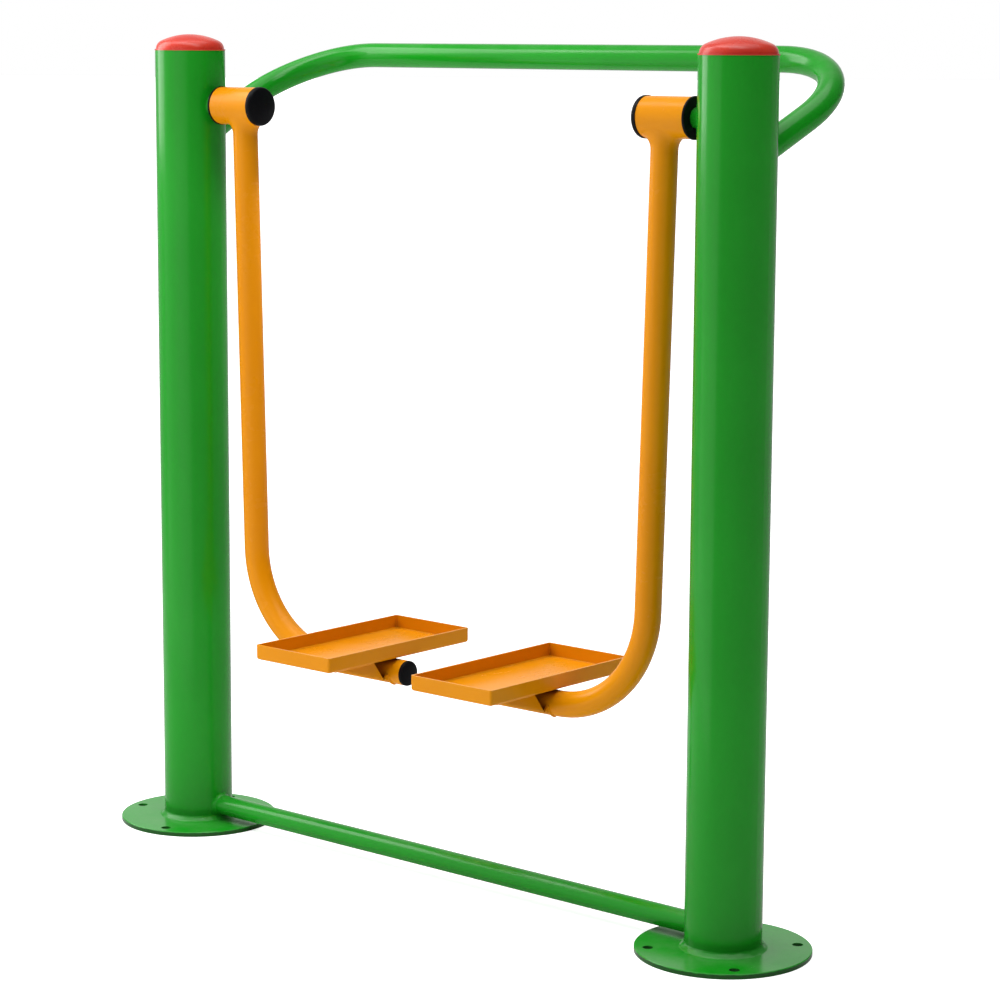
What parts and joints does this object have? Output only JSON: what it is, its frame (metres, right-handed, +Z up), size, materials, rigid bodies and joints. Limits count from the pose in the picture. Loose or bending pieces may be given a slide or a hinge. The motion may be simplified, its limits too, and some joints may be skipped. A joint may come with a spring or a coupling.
{
  "type": "outdoor air walker",
  "caption": "Free-standing outdoor exercise frame with round posts, a bent handrail behind them and swinging arms that carry tray pedals.",
  "frame": {"origin": "ground level, midway between the posts and at the middle of the overall depth", "axes": "+X along the line of the posts from the left post to the right post as seen by the user side in the picture, +Y towards the handrail, +Z up"},
  "size_m": [1.367, 0.4786, 1.316],
  "materials": {
    "green_paint": "glossy green outdoor powder coat on steel tube",
    "yellow_paint": "satin orange-yellow powder coat on steel tube and sheet",
    "red_plastic": "moulded red plastic, slightly weathered",
    "black_plastic": "moulded black plastic",
    "bearing_steel": "ground and polished bearing steel",
    "cage_steel": "pressed steel",
    "zinc_steel": "zinc-plated steel"
  },
  "bodies": {
    "frame": {"tie_bar": "green_paint", "handrail": "green_paint", "left_post": "green_paint", "left_base_flange": "green_paint", "left_post_cap": "red_plastic", "left_stub_axle": "green_paint", "left_inner_races": "bearing_steel", "left_axle_spacer": "zinc_steel", "left_axle_washer": "zinc_steel", "left_axle_nut": "zinc_steel", "right_post": "green_paint", "right_base_flange": "green_paint", "right_post_cap": "red_plastic", "right_stub_axle": "green_paint", "right_inner_races": "bearing_steel", "right_axle_spacer": "zinc_steel", "right_axle_washer": "zinc_steel", "right_axle_nut": "zinc_steel"},
    "left_arm": {"left_hub": "yellow_paint", "left_outer_races": "bearing_steel", "left_bearing_balls": "bearing_steel", "left_bearing_cages": "cage_steel", "left_dust_seal": "black_plastic", "left_hub_cap": "black_plastic", "left_arm_tube": "yellow_paint", "left_tube_plug": "black_plastic", "left_pedal_tray": "yellow_paint", "left_pedal_bracket": "yellow_paint"},
    "right_arm": {"right_hub": "yellow_paint", "right_outer_races": "bearing_steel", "right_bearing_balls": "bearing_steel", "right_bearing_cages": "cage_steel", "right_dust_seal": "black_plastic", "right_hub_cap": "black_plastic", "right_arm_tube": "yellow_paint", "right_tube_plug": "black_plastic", "right_pedal_tray": "yellow_paint", "right_pedal_bracket": "yellow_paint"}
  },
  "joints": [
    {"name": "left_swing", "type": "hinge", "parent": "frame", "child": "left_arm", "pos_m": [-0.4365, -0.07675, 1.202], "axis": [1, 0, 0], "range_deg": [-60, 60]},
    {"name": "right_swing", "type": "hinge", "parent": "frame", "child": "right_arm", "pos_m": [0.4365, -0.07675, 1.202], "axis": [1, 0, 0], "range_deg": [-60, 60]}
  ]
}
